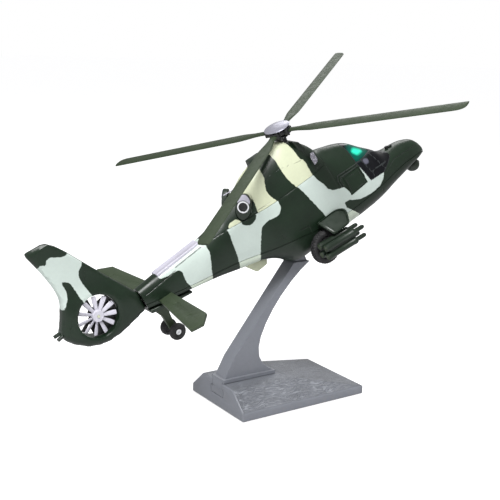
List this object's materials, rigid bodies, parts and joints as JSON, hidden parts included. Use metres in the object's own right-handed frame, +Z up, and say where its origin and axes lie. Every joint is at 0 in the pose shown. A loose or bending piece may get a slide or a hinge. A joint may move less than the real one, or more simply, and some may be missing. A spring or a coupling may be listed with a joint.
{
  "type": "toy helicopter",
  "caption": "Toy helicopter with spinning rotor, shrouded tail fan, opening doors and rolling wheels, nose-up on a swept-arm display stand.",
  "frame": {"origin": "middle of the stand base's underside, on the table", "axes": "+X towards the nose, +Y to port (the model's left), +Z up; the model sits 28.4 degrees nose-up on the stand"},
  "size_m": [0.2827, 0.2231, 0.2203],
  "materials": {
    "hull_paint_pale": "satin",
    "plastic_dark_green": "satin",
    "plastic_cream": "satin",
    "plastic_olive": "satin",
    "plastic_black": "satin",
    "tyre_black": "matte",
    "stand_plastic": "satin",
    "silver_plastic": "satin",
    "white_plastic": "satin",
    "clear_smoke": "gloss",
    "steel": "polished",
    "board": "satin"
  },
  "bodies": {
    "stand": {"stand_base": "stand_plastic"},
    "arm": {"stand_arm": "stand_plastic"},
    "helicopter": {"battery_cover": "plastic_dark_green", "belly_antenna": "plastic_cream", "button_cell_1": "steel", "button_cell_2": "steel", "button_cell_3": "steel", "canopy_glazing": "clear_smoke", "chin_turret": "plastic_dark_green", "circuit_board": "board", "cockpit_led": "white_plastic", "cockpit_tub": "plastic_black", "engine_cowling": "plastic_cream", "exhaust_left": "plastic_black", "exhaust_right": "plastic_black", "fan_axle": "white_plastic", "fan_spider": "plastic_black", "hull_screw_1": "steel", "hull_screw_2": "steel", "hull_screw_3": "steel", "intake_grille_left": "silver_plastic", "intake_grille_right": "silver_plastic", "lower_hull": "plastic_dark_green", "missile_rack_left": "plastic_dark_green", "missile_rack_right": "plastic_dark_green", "motor_frame": "silver_plastic", "speaker": "plastic_black", "stabiliser": "plastic_olive", "stub_wing_left": "plastic_dark_green", "stub_wing_right": "plastic_dark_green", "swashplate": "plastic_black", "tail_block": "plastic_dark_green", "tail_fin_left": "plastic_dark_green", "tail_fin_right": "plastic_dark_green", "tail_wheel_strut": "plastic_olive", "upper_hull": "hull_paint_pale"},
    "rotor": {"rotor_mast": "steel", "rotor_hub": "plastic_olive", "hub_cap": "silver_plastic", "rotor_blade_1": "plastic_olive", "rotor_blade_2": "plastic_olive", "rotor_blade_3": "plastic_olive", "rotor_blade_4": "plastic_olive"},
    "tail_fan": {"tail_fan": "white_plastic"},
    "main_wheels": {"main_axle": "steel", "main_tyre_right": "tyre_black", "main_tyre_left": "tyre_black", "wheel_hub_right": "plastic_black", "wheel_hub_left": "plastic_black", "axle_gear": "white_plastic"},
    "idler": {"idler_gear": "white_plastic"},
    "spring_barrel": {"spring_barrel": "white_plastic"},
    "tail_wheels": {"tail_wheel_axle": "white_plastic", "tail_wheel_right": "tyre_black", "tail_wheel_left": "tyre_black"},
    "sound_button": {"sound_button": "plastic_dark_green"},
    "door_right": {"door_right": "plastic_dark_green"},
    "door_left": {"door_left": "plastic_dark_green"}
  },
  "joints": [
    {"name": "arm_slide", "type": "slide", "parent": "stand", "child": "arm", "axis": [-1, 0, 0], "range_m": [0, 0.04]},
    {"name": "lift_off", "type": "slide", "parent": "arm", "child": "helicopter", "axis": [-0.4756, 0, 0.8796], "range_m": [0, 0.03]},
    {"name": "rotor_spin", "type": "hinge", "parent": "helicopter", "child": "rotor", "pos_m": [-0.00708, 0, 0.17162], "axis": [-0.4756, 0, 0.8796], "continuous": true},
    {"name": "fan_spin", "type": "hinge", "parent": "helicopter", "child": "tail_fan", "pos_m": [-0.12867, 0, 0.07166], "axis": [0, 1, 0], "continuous": true},
    {"name": "wheels_roll", "type": "hinge", "parent": "helicopter", "child": "main_wheels", "pos_m": [0.01707, 0, 0.10067], "axis": [0, 1, 0], "continuous": true},
    {"name": "idler_spin", "type": "hinge", "parent": "helicopter", "child": "idler", "pos_m": [0.01862, 0, 0.10832], "axis": [0, 1, 0], "continuous": true},
    {"name": "barrel_spin", "type": "hinge", "parent": "helicopter", "child": "spring_barrel", "pos_m": [0.02127, 0, 0.11908], "axis": [0, 1, 0], "continuous": true},
    {"name": "tail_wheels_roll", "type": "hinge", "parent": "helicopter", "child": "tail_wheels", "pos_m": [-0.07902, 0, 0.05553], "axis": [0, 1, 0], "continuous": true},
    {"name": "button_press", "type": "slide", "parent": "helicopter", "child": "sound_button", "axis": [0.4756, 0, -0.8796], "range_m": [0, 0.001], "stiffness_N_per_m": 150},
    {"name": "door_right_open", "type": "hinge", "parent": "helicopter", "child": "door_right", "pos_m": [0.04039, -0.01461, 0.14533], "axis": [-0.8736, -0.1174, -0.4723], "range_deg": [0, 60]},
    {"name": "door_left_open", "type": "hinge", "parent": "helicopter", "child": "door_left", "pos_m": [0.04039, 0.01461, 0.14533], "axis": [0.8736, -0.1174, 0.4723], "range_deg": [0, 60]}
  ],
  "couplings": [
    {"joint": "idler_spin", "follows": "wheels_roll", "ratio": -0.55},
    {"joint": "barrel_spin", "follows": "wheels_roll", "ratio": 0.45833}
  ]
}
